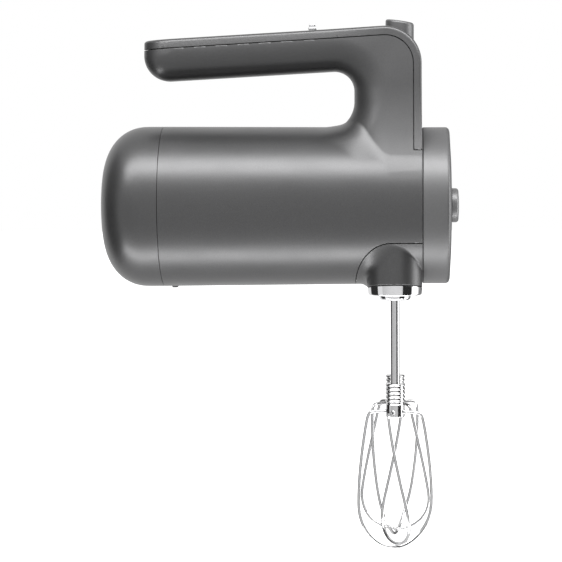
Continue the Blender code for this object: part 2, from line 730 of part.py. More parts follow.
def make_spring(paint, parent):
    """The ejector's return spring, between the frame and the yoke."""
    curve = bpy.data.curves.new("ejector_spring", "CURVE")
    curve.dimensions = "3D"
    curve.bevel_depth = 0.45 * MM
    curve.bevel_resolution = 1
    curve.use_fill_caps = True
    turns, steps = 3, 12
    low, high = 12.9, 19.1
    spline = curve.splines.new("POLY")
    spline.points.add(turns * steps)
    for i, point in enumerate(spline.points):
        share = i / (turns * steps)
        angle = math.tau * turns * share
        place = Vector((4.6 * math.cos(angle), 4.6 * math.sin(angle), low + (high - low) * share))
        point.co = (*(place * MM), 1)
    spring = bpy.data.objects.new("ejector_spring", curve)
    spring.parent = parent
    curve.materials.append(paint["steel"])
    bpy.context.scene.collection.objects.link(spring)


# ---------------------------------------------------------------- beaters


def wire_radius(z):
    """The cage's radius, at a wire's centre, from its shoulder down to its foot."""
    if z < CAGE_WIDEST_Z:
        share = (z - CAGE_WIDEST_Z) / (CAGE_FOOT_Z - CAGE_WIDEST_Z)
        return CAGE_R * math.sqrt(max(0.0, 1 - share**2))
    shoulder_r, shoulder_z = 17.4, WIRE_EXIT_Z - 4.0
    share = (z - CAGE_WIDEST_Z) / (shoulder_z - CAGE_WIDEST_Z)
    return CAGE_R - (CAGE_R - shoulder_r) * share**1.35


def half_loop(lift):
    """(radius, z) points of one side of a wire loop, from inside the sleeve to the foot."""
    points = [(WIRE_END_R, WIRE_EXIT_Z), (SLEEVE_R + 1, WIRE_EXIT_Z), (11.0, WIRE_EXIT_Z)]
    points += [(14.4, WIRE_EXIT_Z - 0.4), (16.4, WIRE_EXIT_Z - 1.7)]
    foot = CAGE_FOOT_Z + lift
    for i in range(11):
        share = i / 10
        z = (WIRE_EXIT_Z - 4.0) + (foot - WIRE_EXIT_Z + 4.0) * math.sin(math.pi / 2 * share)
        if i < 10:
            stretched = CAGE_WIDEST_Z + (z - CAGE_WIDEST_Z) * (
                (CAGE_FOOT_Z - CAGE_WIDEST_Z) / (foot - CAGE_WIDEST_Z) if z < CAGE_WIDEST_Z else 1
            )
            points.append((wire_radius(stretched), z))
    points.append((0.0, foot))
    return points


def make_beater(side, sign, paint, spindle):
    empty = axis_empty(f"beater_{side}_axis", (0, 0, 0), spindle)
    shaft = rod(SHAFT_R, SLEEVE_FOOT_Z + 2.2, SHAFT_TOP_Z, 14)
    finish(as_object(f"beater_shaft_{side}", shaft), paint["steel"], empty)
    profile = [(SHAFT_R + SEAM, SLEEVE_TOP_Z)]
    for i in range(5):
        z = SLEEVE_TOP_Z - 2.4 * i
        profile += [(SLEEVE_R - 0.9, z), (SLEEVE_R, z - 0.8), (SLEEVE_R, z - 1.6)]
    profile += [(SLEEVE_R - 0.9, SLEEVE_TOP_Z - 12), (SLEEVE_R - 0.3, SLEEVE_TOP_Z - 12.8)]
    profile += [(SLEEVE_R - 0.3, SLEEVE_FOOT_Z + 0.8), (SLEEVE_R - 1.2, SLEEVE_FOOT_Z)]
    profile += [(0, SLEEVE_FOOT_Z), (0, SLEEVE_FOOT_Z + 1.9), (SHAFT_R + SEAM, SLEEVE_FOOT_Z + 1.9)]
    sleeve = as_object(f"beater_sleeve_{side}", spun(profile[::-1], 16))
    for i in range(4):
        hole = moved(rod(WIRE_R + 0.3, 3.5, 8, 8, along_x=True), 0, 0, WIRE_EXIT_Z)
        turned(hole, TURN[side] + i * math.pi / 2, "Z")
        combine(sleeve, "DIFFERENCE", hole)
    finish(sleeve, paint["steel"], empty)
    for i, letter in enumerate("ab"):
        wire = beater_wire(f"beater_wire_{side}_{letter}", TURN[side] + i * math.pi / 2, i * LOOP_STEP)
        wire.parent = empty
        wire.data.materials.append(paint["steel"])


def beater_wire(name, azimuth, lift):
    side = half_loop(lift)
    span = WIRE_EXIT_Z - (CAGE_FOOT_Z + lift)
    places = []
    for radius, z in side:
        angle = azimuth + CAGE_TWIST * (WIRE_EXIT_Z - z) / span
        places.append(Vector((radius * math.cos(angle), radius * math.sin(angle), z)))
    far_side = [Vector((-p.x, -p.y, p.z)) for p in reversed(places[:-1])]
    places += far_side
    curve = bpy.data.curves.new(name, "CURVE")
    curve.dimensions = "3D"
    curve.bevel_depth = WIRE_R * MM
    curve.bevel_resolution = 1
    curve.use_fill_caps = True
    spline = curve.splines.new("POLY")
    spline.points.add(len(places) - 1)
    for point, place in zip(spline.points, places):
        point.co = (*(place * MM), 1)
    wire = bpy.data.objects.new(name, curve)
    bpy.context.scene.collection.objects.link(wire)
    return wire


def main():
    for obj in list(bpy.data.objects):
        bpy.data.objects.remove(obj)
    paint = materials()
    make_shells(paint)
    make_turned_covers(paint)
    spindles = make_drive(paint)
    make_gearbox_frame(paint)
    make_screws(paint)
    make_motor(paint)
    make_electrics(paint)
    make_slider(paint)
    make_ejector(paint)
    for side, sign in SIDES.items():
        make_beater(side, sign, paint, spindles[side])


main()
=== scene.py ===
"""The looks of the cordless hand mixer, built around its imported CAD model.

Lengths in the shape functions are millimetres in the row frame: +X to the front, +Z to the handle,
+Y to the mixer's left. Meshes are made in metres.
"""

import json
import math

import bmesh
import bpy
import numpy as np
from mathutils import Matrix, Vector


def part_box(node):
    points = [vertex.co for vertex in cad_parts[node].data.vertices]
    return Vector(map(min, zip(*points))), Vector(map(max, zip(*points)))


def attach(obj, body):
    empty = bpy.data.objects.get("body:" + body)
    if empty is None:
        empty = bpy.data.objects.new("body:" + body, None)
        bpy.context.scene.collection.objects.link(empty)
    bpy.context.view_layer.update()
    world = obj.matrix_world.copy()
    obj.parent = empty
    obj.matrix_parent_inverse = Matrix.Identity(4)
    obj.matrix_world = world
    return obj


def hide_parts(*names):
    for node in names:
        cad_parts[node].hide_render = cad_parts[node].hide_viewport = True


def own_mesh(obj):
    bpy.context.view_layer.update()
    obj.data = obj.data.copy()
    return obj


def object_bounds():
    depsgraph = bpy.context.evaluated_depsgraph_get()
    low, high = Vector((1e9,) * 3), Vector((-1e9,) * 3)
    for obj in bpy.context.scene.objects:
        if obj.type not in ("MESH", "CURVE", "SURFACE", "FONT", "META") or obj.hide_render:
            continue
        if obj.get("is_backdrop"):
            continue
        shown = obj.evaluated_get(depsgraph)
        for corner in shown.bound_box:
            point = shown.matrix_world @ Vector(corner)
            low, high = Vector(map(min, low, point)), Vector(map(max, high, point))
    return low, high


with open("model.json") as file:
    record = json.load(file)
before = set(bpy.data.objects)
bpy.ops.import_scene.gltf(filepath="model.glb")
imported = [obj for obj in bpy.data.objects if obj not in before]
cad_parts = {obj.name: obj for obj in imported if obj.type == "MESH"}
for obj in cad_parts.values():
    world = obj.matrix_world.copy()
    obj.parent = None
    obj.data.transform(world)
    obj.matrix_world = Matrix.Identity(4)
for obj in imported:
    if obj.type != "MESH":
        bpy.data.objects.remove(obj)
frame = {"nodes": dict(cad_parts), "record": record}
CAD_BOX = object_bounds()

MM = 0.001


def span(node):
    """A node's lowest and highest corners at rest, in millimetres."""
    low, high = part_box(node)
    return np.array(low) / MM, np.array(high) / MM


# ---------------------------------------------------------------- dimensions

CAP_LOW, CAP_HIGH = span("rear_cap")
HOUSING_LOW, HOUSING_HIGH = span("housing_left")
COVER_LOW, COVER_HIGH = span("top_cover")
FRONT_LOW, FRONT_HIGH = span("front_cover")
BADGE_LOW, BADGE_HIGH = span("front_badge")
NOSE_LOW, NOSE_HIGH = span("nose_cover")
COLLAR_LOW, COLLAR_HIGH = span("nose_collar_left")
HUB_LOW, HUB_HIGH = span("spindle_left")
SLEEVE_LOW, SLEEVE_HIGH = span("beater_sleeve_left")
SHAFT_LOW, SHAFT_HIGH = span("beater_shaft_left")
WIRE_LOW, WIRE_HIGH = span("beater_wire_left_a")
BUTTON_LOW, BUTTON_HIGH = span("ejector_button")
TAB_LOW, TAB_HIGH = span("speed_slider")
FLAP_LOW, FLAP_HIGH = span("charge_flap")

SIDES = {"left": 1, "right": -1}
HALF_SEAM = 0.3  # half the width of a visible parting line
SEAM_CLOSING = 0.22  # how much of that the nose's line loses under the barrel
HALVES_GAP = 0.2  # from the middle plane to each half of the housing
WALL = 2.2
BACKING = 1.5  # thickness of the moulded tongue behind a parting line
BACKING_GAP = 0.35  # between a wall and the tongue behind it
BACKING_REACH = 2.8  # how far a tongue reaches to each side of its line
BARREL_TOP = 50.0  # above this height there is no barrel
HANDLE_TOP = 83.0  # above this height there is only the handle's top
NO_CUT = -50.0  # a signed distance that leaves a solid whole
NO_SOLID = 99.0  # a signed distance where a solid isn't

# Barrel
REAR_SEAM = 37.35
FRONT_SEAM = FRONT_LOW[0] - 2 * HALF_SEAM
REAR_R = CAP_HIGH[2]
FRONT_R = FRONT_HIGH[2]
DOME_FLAT_R = 17.0
DOME_LENGTH = 27.5
DOME_POWER = 2.15

# Handle, column and their covers
SLOPE = math.radians(3.0)
HANDLE_REAR = HOUSING_LOW[0]
COLUMN_FRONT = 196.0
CORNER = (172.0, 85.6)
CORNER_R = 24.0
GRIP_UNDER = (42.3, 77.07)  # a point on the grip's underside
GRIP_HALF = 16.9
GRIP_CROWN = 0.0085  # how fast the grip narrows towards its top
GRIP_WAIST = 20.0  # depth below the top at which the grip is widest
COLUMN_HALF = 17.5
COLUMN_TOP = 108.0  # the height of that half width
COLUMN_SPREAD = 0.2  # widening for each millimetre down the column
FLARE_TOP = 75.0
FLARE_GROWTH = 0.00267  # extra widening below the flare's top, with the square of the depth
FLARE_FOOT = 26.0  # below this the column stays inside the barrel
FLARE_INSET = 0.15  # by this much for each millimetre
GRIP_TO_COLUMN = (135.0, 178.0)  # from the grip's width to the column's
COLUMN_REAR = 155.0
COLUMN_BEHIND = 105.0  # below the grip, nothing of the handle lies behind this
COLUMN_FOOT = 10.0  # inside the barrel
GRIP_LOWEST = 56.0  # a height below all of the grip
COLUMN_EDGE_LOSS = 3.0  # how much sharper the column's edges are than the grip's
COLUMN_EDGE_FADE = (45.0, 85.0)
SLOT_TOP_R = 13.0
SLOT_FOOT_R = 18.0
SLOT_SINK = 2.5  # how far the finger gap's foot lies below the barrel's top
SLOT_DIP = 10.0  # and how much further behind the column
SLOT_DIP_FADE = (120.0, 144.0)
FILLET = 1.2  # where the column meets the barrel
REAR_FILLET = 2.6  # more of it at the column's rear
REAR_FILLET_FADE = (154.0, 168.0)
SIDE_FILLET = 9.0  # and more again down its sides
SIDE_FILLET_FADE = (150.0, 174.0)
SIDE_FILLET_WIDTHS = (8.0, 30.0)
GRIP_HEEL_R = 17.0
GRIP_EDGE_R = 15.0
GRIP_OVAL = 0.75  # how much the rounding of the grip is stretched
FRONT_EDGES = (0.35, 1.7)  # rounding of the column's front edges, at the foot and at the top
FRONT_EDGE_FADE = (40.0, 70.0)
COVER_DEPTH = 5.6
COVER_FRONT = 5.0  # depth of the cover down the column's front
COVER_FOOT = 34.5

# Nose
NOSE_REAR = NOSE_LOW[0]
NOSE_ARCH = (177.1, -48.5)
NOSE_TOP = -21.4
NOSE_SEAM_FADE = (-47.5, -45.5)
NOSE_HIGHEST = -12.0
NOSE_EDGE_R = 0.8
NOSE_FILLET = (0.7, 4.2)  # between the bosses and the barrel, at the front and at the rear
NOSE_PLATE = 2.5
NOSE_BACKING_TOP = -15.0  # the nose's tongue stays below and in front of these
NOSE_BACKING_REAR = 130.0
COLLAR_BORE = 9.3

# Beaters
BEATER_X = (COLLAR_LOW[0] + COLLAR_HIGH[0]) / 2
BEATER_Y = (COLLAR_LOW[1] + COLLAR_HIGH[1]) / 2
BOSS_R = 17.0
BEATER_CLEARANCE = BOSS_R - 1.5
NOSE_TILT = 0.16
WIRE_R = 1.05
WIRE_EXIT = WIRE_HIGH[2] - WIRE_R
WIRE_BEND_R = 3.0  # where a wire turns down
SHOULDER_R = 17.4
SHOULDER_DROP = 4.0  # from the wire's exit to the cage's shoulder
SHOULDER_POWER = 1.35
CAGE_R = 23.2
CAGE_WIDEST = -183.0
CAGE_FOOT = WIRE_LOW[2] + WIRE_R
CAGE_TWIST = math.radians(45.0)
LOOP_STEP = 2.4  # how much higher the inner loop's foot lies
TURN = {"left": math.radians(33.0), "right": math.radians(-14.7)}
BEATER_PULL = 60.0  # how far a beater slides down

# Controls
EJECTOR_X = (BUTTON_LOW[0] + BUTTON_HIGH[0]) / 2
EJECTOR_R = (BUTTON_HIGH[0] - BUTTON_LOW[0]) / 2
BUTTON_GAP = 0.35  # in the cover
BUTTON_CLEARANCE = 1.2  # in the tongue under it
SLIDER_X = 129.5
SLIDER_TRAVEL = 32.0
SLIDER_STEM = 1.9  # half the stem's length, with its clearance
SLIDER_SLOT_R = 2.2
CONTROLS_HALF = 9.0  # half the width kept clear under the controls
LENS_X = 112.0
LENS_R = 2.0
FLAP_CORNER_R = 2.5
FLAP_GAP = 0.3
PORT_TOP = -30.0
TAB_X = 43.35  # the flap's pull tab
TAB_HALF = (0.9, 2.2)
TAB_EDGE_R = 0.85
TAB_TOP = -47.5

# Studio
STUDIO_MIDDLE = (109.0, 0.0, -47.0)
STUDIO_REACH = 900.0  # from the middle to each light and flag
CAMERA_AT = (178.6, -1379.4, 44.1)
CAMERA_AIM = (109.0, 0.0, -46.5)
CAMERA_LENS = 143.06
CAMERA_ROLL = -0.34
SKY_STRENGTH = 1.0
FLOOR_HALF = 6000.0
FLOOR_DROP = BEATER_PULL + 5.0  # below the beaters at rest, so that they clear it when pulled
FLOOR_GLOW = 0.5


# ---------------------------------------------------------------- meshing a smooth moulding


def both(a, b, r):
    """The common part of two signed distances, with a rounded edge of radius r."""
    outside = np.hypot(np.maximum(a + r, 0), np.maximum(b + r, 0))
    return outside + np.minimum(np.maximum(a, b) + r, 0) - r


def either(a, b, r):
    """Two signed distances joined, with a fillet of radius r."""
    return -both(-a, -b, r)


def crossings(values, axis, low, step, field):
    """Where the surface cuts the grid's edges along one axis: cell, point, normal and direction."""
    first = np.moveaxis(values, axis, 0)[:-1]
    second = np.moveaxis(values, axis, 0)[1:]
    found = np.argwhere((first < 0) != (second < 0))
    start = first[tuple(found.T)].astype(float)
    end = second[tuple(found.T)].astype(float)
    order = [axis] + [i for i in range(3) if i != axis]
    cell = np.empty_like(found)
    cell[:, order] = found
    base = low + cell * step
    share_a, share_b = np.zeros(len(cell)), np.ones(len(cell))
    value_a, value_b = start.copy(), end.copy()
    for _ in range(4):
        share = share_a + (share_b - share_a) * np.clip(value_a / (value_a - value_b), 0.05, 0.95)
        point = base.copy()
        point[:, axis] += share * step
        value = field(*point.T)
        same = (value < 0) == (value_a < 0)
        share_a, value_a = np.where(same, share, share_a), np.where(same, value, value_a)
        share_b, value_b = np.where(same, share_b, share), np.where(same, value_b, value)
    share = share_a + (share_b - share_a) * value_a / (value_a - value_b)
    point = base.copy()
    point[:, axis] += share * step
    return cell, point, gradient(field, point), start < 0


def gradient(field, point, reach=0.02):
    slope = np.empty_like(point)
    for i in range(3):
        ahead, behind = point.copy(), point.copy()
        ahead[:, i] += reach
        behind[:, i] -= reach
        slope[:, i] = field(*ahead.T) - field(*behind.T)
    return slope / np.maximum(np.linalg.norm(slope, axis=1), 1e-9)[:, None]


def contour(field, low, high, step):
    """Dual contouring of field < 0 on a grid: points and quads, with creases kept sharp."""
    low = np.array(low, float)
    counts = np.ceil((np.array(high, float) - low) / step).astype(int) + 1
    x, y, z = (low[i] + step * np.arange(counts[i]) for i in range(3))
    values = np.stack([field(np.float64(each), y[:, None], z[None, :]) for each in x])
    corners, points, normals, quads = [], [], [], []
    for axis in range(3):
        cell, point, normal, leaving = crossings(values, axis, low, step, field)
        b, c = (axis + 1) % 3, (axis + 2) % 3
        around = []
        for shift_b, shift_c in ((-1, -1), (0, -1), (0, 0), (-1, 0)):
            near = cell.copy()
            near[:, b] += shift_b
            near[:, c] += shift_c
            around.append(np.ravel_multi_index(near.T, counts))
        quad = np.stack(around, axis=1)
        quads.append(np.where(leaving[:, None], quad, quad[:, ::-1]))
        corners.append(np.concatenate(around))
        points.append(np.tile(point, (4, 1)))
        normals.append(np.tile(normal, (4, 1)))
    quads = np.concatenate(quads)
    ids, index = np.unique(np.concatenate(corners), return_inverse=True)
    placed = cell_points(index, len(ids), np.concatenate(points), np.concatenate(normals))
    middle = low + (np.stack(np.unravel_index(ids, counts), axis=1) + 0.5) * step
    placed = np.clip(placed, middle - 0.5 * step, middle + 0.5 * step)
    return placed, np.searchsorted(ids, quads)


def cell_points(index, count, points, normals):
    """The point of each cell that lies best on the planes that cross it."""
    share = 1 / np.bincount(index, minlength=count)
    mean = np.stack([np.bincount(index, points[:, i], count) * share for i in range(3)], axis=1)
    reach = np.einsum("ij,ij->i", normals, points - mean[index])
    matrix = np.empty((count, 3, 3))
    target = np.empty((count, 3))
    for i in range(3):
        target[:, i] = np.bincount(index, normals[:, i] * reach, count)
        for j in range(3):
            matrix[:, i, j] = np.bincount(index, normals[:, i] * normals[:, j], count)
    matrix += np.eye(3) * 0.02
    return mean + np.linalg.solve(matrix, target[:, :, None])[:, :, 0]


def mesh_object(name, points, faces, smooth=35.0):
    """A piece from points in millimetres."""
    mesh = bpy.data.meshes.new(name)
    mesh.from_pydata((np.asarray(points) * MM).tolist(), [], [list(map(int, f)) for f in faces])
    mesh.validate()
    mesh.shade_smooth()
    mesh.set_sharp_from_angle(angle=math.radians(smooth))
    obj = bpy.data.objects.new(name, mesh)
    bpy.context.scene.collection.objects.link(obj)
    return obj


def show(obj, body, slot, paint, *replaced):
    """Puts a piece on its body, in place of CAD nodes, with its finish."""
    obj.data.materials.clear()
    obj.data.materials.append(paint)
    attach(obj, body)
    if replaced:
        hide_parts(*replaced)
    return obj


# ---------------------------------------------------------------- the body's form


def top_plane(x, z):
    height = CORNER[1] + CORNER_R / math.cos(SLOPE) + (x - CORNER[0]) * math.tan(SLOPE)
    return (z - height) * math.cos(SLOPE)


def under_plane(x, z):
    height = GRIP_UNDER[1] + (x - GRIP_UNDER[0]) * math.tan(SLOPE)
    return (z - height) * math.cos(SLOPE)


def ramp(x, low, high):
    """A smooth rise from 0 at low to 1 at high."""
    share = np.clip((x - low) / (high - low), 0, 1)
    return share * share * (3 - 2 * share)


def fade(x, low, high):
    """The ramp's mirror image: 1 at low, falling to 0 at high."""
    return ramp(low + high - x, low, high)


def barrel_radius(x):
    return REAR_R + (FRONT_R - REAR_R) * (x - REAR_SEAM) / (FRONT_SEAM - REAR_SEAM)


def column_half(x, z):
    """The column's half width: it flares downwards until it lies on the barrel."""
    flare = COLUMN_HALF + COLUMN_SPREAD * (COLUMN_TOP - z)
    flare = flare + FLARE_GROWTH * np.maximum(FLARE_TOP - z, 0) ** 2
    barrel = np.sqrt(np.maximum(barrel_radius(x) ** 2 - z * z, 0))
    inside = barrel - FLARE_INSET * (FLARE_FOOT - z)
    return np.where(z < FLARE_FOOT, np.minimum(flare, inside), flare)


def body_form(x, y, z):
    """The barrel with its column and handle, as one smooth form."""
    finger_gap = both(under_plane(x, z), x - COLUMN_REAR, SLOT_TOP_R)
    foot = barrel_radius(x) - SLOT_SINK - SLOT_DIP * fade(x, *SLOT_DIP_FADE)
    finger_gap = both(finger_gap, foot - z, SLOT_FOOT_R)
    profile = both(-finger_gap, HANDLE_REAR + 0.1 - x, GRIP_HEEL_R)
    grip_half = GRIP_HALF - GRIP_CROWN * np.maximum(GRIP_WAIST + top_plane(x, z), 0) ** 2
    half = grip_half + (column_half(x, z) - grip_half) * ramp(x, *GRIP_TO_COLUMN)
    edge = GRIP_EDGE_R - COLUMN_EDGE_LOSS * fade(z, *COLUMN_EDGE_FADE)
    handle = np.maximum(both(np.abs(y) - half, profile * GRIP_OVAL, edge), COLUMN_FOOT - z)
    handle = np.maximum(handle, np.where(z < GRIP_LOWEST, COLUMN_BEHIND - x, NO_CUT))
    barrel = np.maximum(np.hypot(y, z) - barrel_radius(x), REAR_SEAM - x)
    fillet = FILLET + REAR_FILLET * fade(x, *REAR_FILLET_FADE)
    sides = ramp(np.abs(y), *SIDE_FILLET_WIDTHS)
    fillet = fillet + SIDE_FILLET * fade(x, *SIDE_FILLET_FADE) * sides
    form = either(handle, barrel, fillet)
    outer = both(top_plane(x, z), x - COLUMN_FRONT, CORNER_R)
    sharp, soft = FRONT_EDGES
    return both(form, outer, sharp + (soft - sharp) * ramp(z, *FRONT_EDGE_FADE))


def cover_line(x, z):
    """Distance from the parting line of the top cover: above 0 is the cover's side."""
    front = x - COLUMN_FRONT + COVER_FRONT
    inner = both(top_plane(x, z) + COVER_DEPTH, front, CORNER_R - COVER_DEPTH)
    return np.minimum(inner, z - COVER_FOOT)


def nose_line(x, z):
    """Distance from the parting line of the nose cover: below 0 is the cover's side."""
    across = NOSE_ARCH[0] - NOSE_REAR
    up = NOSE_TOP - NOSE_ARCH[1]
    u = np.maximum((NOSE_ARCH[0] - x) / across, 0)
    v = np.maximum((z - NOSE_ARCH[1]) / up, 0)
    size = np.maximum(np.hypot(u, v), 1e-6)
    steepness = np.hypot(u / across, v / up) / size
    return (size - 1) / np.maximum(steepness, 1 / (2 * across))


def nose_seam(z):
    """Half the nose's parting line, which closes up under the barrel."""
    return HALF_SEAM - SEAM_CLOSING * fade(z, *NOSE_SEAM_FADE)


def flap_line(x, y):
    """Distance from the charging flap's edge, seen from below."""
    middle = (FLAP_LOW[0] + FLAP_HIGH[0]) / 2
    half = (FLAP_HIGH[0] - FLAP_LOW[0]) / 2
    return both(np.abs(x - middle) - half, np.abs(y) - FLAP_HIGH[1], FLAP_CORNER_R)


def housing_field(x, y, z):
    """The right half of the housing; the left half is its mirror image."""
    form = body_form(x, y, z)
    shell = np.maximum(form, -form - WALL)
    shell = np.maximum(shell, cover_line(x, z) + HALF_SEAM)
    shell = np.maximum(shell, nose_seam(z) - nose_line(x, z))
    window = np.maximum(flap_line(x, y) - FLAP_GAP, z)
    return np.maximum(np.maximum(shell, -window), y + HALVES_GAP)


def cover_field(x, y, z):
    form = body_form(x, y, z)
    shell = np.maximum(form, -form - WALL)
    shell = np.maximum(shell, HALF_SEAM - cover_line(x, z))
    hole = EJECTOR_R + BUTTON_GAP - np.hypot(x - EJECTOR_X, y)
    start = SLIDER_X - SLIDER_STEM + SLIDER_SLOT_R
    end = SLIDER_X + SLIDER_TRAVEL + SLIDER_STEM - SLIDER_SLOT_R
    slot = SLIDER_SLOT_R - np.hypot(x - np.clip(x, start, end), y)
    lens = LENS_R - np.hypot(x - LENS_X, y)
    holes = np.maximum(np.maximum(hole, slot), lens)
    return np.maximum(shell, np.where(z > HANDLE_TOP, holes, NO_CUT))


def nose_rise(y):
    """How far the nose's underside rises outside the beaters' plane."""
    return NOSE_TILT * np.maximum(np.abs(y) - BEATER_Y, 0)


def nose_form(x, y, z):
    """The barrel's nose with its two bosses and the flat between them."""
    barrel = np.hypot(y, z) - barrel_radius(x)
    boss = np.hypot(x - BEATER_X, np.abs(y) - BEATER_Y) - BOSS_R
    between = np.maximum(np.abs(x - BEATER_X) - BOSS_R, np.abs(y) - BEATER_Y)
    floor = NOSE_LOW[2] + nose_rise(y) - z
    flat = both(np.minimum(boss, between), floor, NOSE_EDGE_R)
    small, large = NOSE_FILLET
    fillet = small + (large - small) * fade(x, BEATER_X - 14, BEATER_X + 2)
    form = either(barrel, np.maximum(flat, z - NOSE_HIGHEST), fillet)
    return np.maximum(form, x - COLUMN_FRONT)


def nose_field(x, y, z):
    form = nose_form(x, y, z)
    from_beater = np.hypot(x - BEATER_X, np.abs(y) - BEATER_Y)
    plate = np.maximum(from_beater - BOSS_R, z - NOSE_LOW[2] - nose_rise(y) - NOSE_PLATE)
    shell = np.minimum(np.maximum(form, -form - WALL), np.maximum(form, plate))
    shell = np.maximum(shell, nose_line(x, z) + nose_seam(z))
    return np.maximum(shell, COLLAR_BORE - from_beater)


def backing_field(x, y, z):
    """Tongues just inside the walls, so that no parting line shows daylight."""
    near_nose = (z < NOSE_BACKING_TOP) & (x > NOSE_BACKING_REAR)
    nose = np.where(near_nose, nose_form(x, y, z), NO_SOLID)
    form = np.minimum(body_form(x, y, z), nose)
    layer = np.maximum(form + WALL + BACKING_GAP, -form - WALL - BACKING_GAP - BACKING)
    seam = np.minimum(np.abs(cover_line(x, z)), np.abs(y))
    ends = np.minimum(x - REAR_SEAM, FRONT_SEAM - x)
    seam = np.where(z < BARREL_TOP, np.minimum(seam, ends), seam)
    seam = np.minimum(seam, np.abs(nose_line(x, z)))
    tongue = np.maximum(layer, seam - BACKING_REACH)
    beaters = BEATER_CLEARANCE - np.hypot(x - BEATER_X, np.abs(y) - BEATER_Y)
    tongue = np.maximum(tongue, np.where(z < NOSE_HIGHEST, beaters, NO_CUT))
    button = EJECTOR_R + BUTTON_CLEARANCE - np.hypot(x - EJECTOR_X, y)
    controls = np.maximum(button, CONTROLS_HALF - np.abs(y))
    tongue = np.maximum(tongue, np.where(z > HANDLE_TOP, controls, NO_CUT))
    port = np.maximum(flap_line(x, y) - FLAP_GAP - 0.2, z - PORT_TOP)
    return np.maximum(tongue, -port)


def flap_field(x, y, z):
    form = body_form(x, y, z)
    plate = np.maximum(np.maximum(form, -form - WALL), flap_line(x, y))
    along = np.maximum(np.abs(x - TAB_X) - TAB_HALF[0], 0)
    across = np.maximum(np.abs(y) - TAB_HALF[1], 0)
    tab = both(np.hypot(along, across) - TAB_EDGE_R, FLAP_LOW[2] + 0.02 - z, 0.5)
    return np.minimum(plate, np.maximum(tab, z - TAB_TOP))


# ---------------------------------------------------------------- materials


class Paint:
    """A node-based material under construction."""

    def __init__(self, name):
        self.material = bpy.data.materials.new(name)
        self.material.use_nodes = True
        self.tree = self.material.node_tree
        self.shader = self.tree.nodes["Principled BSDF"]
        self.place = self.node("ShaderNodeTexCoord").outputs["Object"]

    def node(self, kind, **settings):
        made = self.tree.nodes.new(kind)
        for key, value in settings.items():
            setattr(made, key, value)
        return made

    def set(self, **values):
        for key, value in values.items():
            self.shader.inputs[key.replace("_", " ")].default_value = value
        return self

    def stretched(self, scale):
        mapping = self.node("ShaderNodeMapping")
        mapping.inputs["Scale"].default_value = scale
        self.tree.links.new(self.place, mapping.inputs["Vector"])
        return mapping.outputs["Vector"]

    def noise(self, scale, detail=2.0, stretch=(1, 1, 1)):
        """Noise with so many grains to a metre."""
        made = self.node("ShaderNodeTexNoise")
        made.inputs["Scale"].default_value = scale
        made.inputs["Detail"].default_value = detail
        self.tree.links.new(self.stretched(stretch), made.inputs["Vector"])
        return made.outputs["Fac"]

    def spread(self, value, low, high, start=0.3, end=0.7):
        made = self.node("ShaderNodeMapRange")
        for key, number in zip(("From Min", "From Max", "To Min", "To Max"), (start, end, low, high)):
            made.inputs[key].default_value = number
        self.tree.links.new(value, made.inputs["Value"])
        return made.outputs["Result"]

    def colour(self, value, low, high):
        made = self.node("ShaderNodeMix", data_type="RGBA")
        made.inputs["A"].default_value = (*low, 1)
        made.inputs["B"].default_value = (*high, 1)
        self.tree.links.new(value, made.inputs["Factor"])
        self.tree.links.new(made.outputs["Result"], self.shader.inputs["Base Color"])
        return self

    def roughness(self, value, low, high):
        self.tree.links.new(self.spread(value, low, high), self.shader.inputs["Roughness"])
        return self

    def bump(self, value, height, strength=1.0):
        made = self.node("ShaderNodeBump")
        made.inputs["Distance"].default_value = height
        made.inputs["Strength"].default_value = strength
        before = self.shader.inputs["Normal"].links
        if before:
            self.tree.links.new(before[0].from_socket, made.inputs["Normal"])
        self.tree.links.new(value, made.inputs["Height"])
        self.tree.links.new(made.outputs["Normal"], self.shader.inputs["Normal"])
        return self


def satin_paint(name, dark, light, rough=(0.34, 0.39), metallic=0.75):
    """Metallic paint: a fine flake in a satin coat, with a faint orange peel."""
    paint = Paint(name).set(Metallic=metallic, Specular_IOR_Level=0.45)
    flake = paint.noise(5200, 2.0)
    cloud = paint.noise(38, 3.0)
    paint.colour(paint.spread(flake, 0, 1, 0.35, 0.65), dark, light)
    paint.roughness(cloud, *rough)
    paint.bump(paint.noise(900, 2.0), 0.000012, 0.5)
    paint.bump(flake, 0.000006, 0.35)
    return paint.material


def polished(name, colour, rough, grain_along=(1, 1, 1), grain=900, depth=0.000004):
    """Bright metal with a faint grain along its working direction."""
    paint = Paint(name).set(Metallic=1.0)
    lines = paint.noise(grain, 3.0, grain_along)
    haze = paint.noise(60, 3.0)
    paint.colour(paint.spread(haze, 0, 1), [c * 0.94 for c in colour], colour)
    paint.roughness(lines, rough * 0.8, rough * 1.3)
    paint.bump(lines, depth, 0.4)
    return paint.material


def moulded(name, colour, rough, texture=1400, depth=0.00002, metallic=0.0):
    """Plastic, rubber or ceramic with a fine moulded texture."""
    paint = Paint(name).set(Metallic=metallic)
    grain = paint.noise(texture, 2.0)
    cloud = paint.noise(45, 3.0)
    paint.colour(paint.spread(cloud, 0, 1), [c * 0.88 for c in colour], [c * 1.1 for c in colour])
    paint.roughness(cloud, rough * 0.9, min(1.0, rough * 1.12))
    paint.bump(grain, depth, 0.6)
    return paint.material


def circuit_board():
    """Solder mask over faint copper tracks."""
    paint = Paint("circuit_board").set(Metallic=0.0, Coat_Weight=0.3)
    tracks = paint.node("ShaderNodeTexBrick")
    tracks.inputs["Scale"].default_value = 260
    tracks.inputs["Mortar Size"].default_value = 0.03
    paint.tree.links.new(paint.place, tracks.inputs["Vector"])
    paint.colour(tracks.outputs["Fac"], (0.012, 0.11, 0.045), (0.03, 0.2, 0.09))
    paint.roughness(paint.noise(200), 0.35, 0.5)
    paint.bump(tracks.outputs["Fac"], 0.00003, 0.5)
    return paint.material


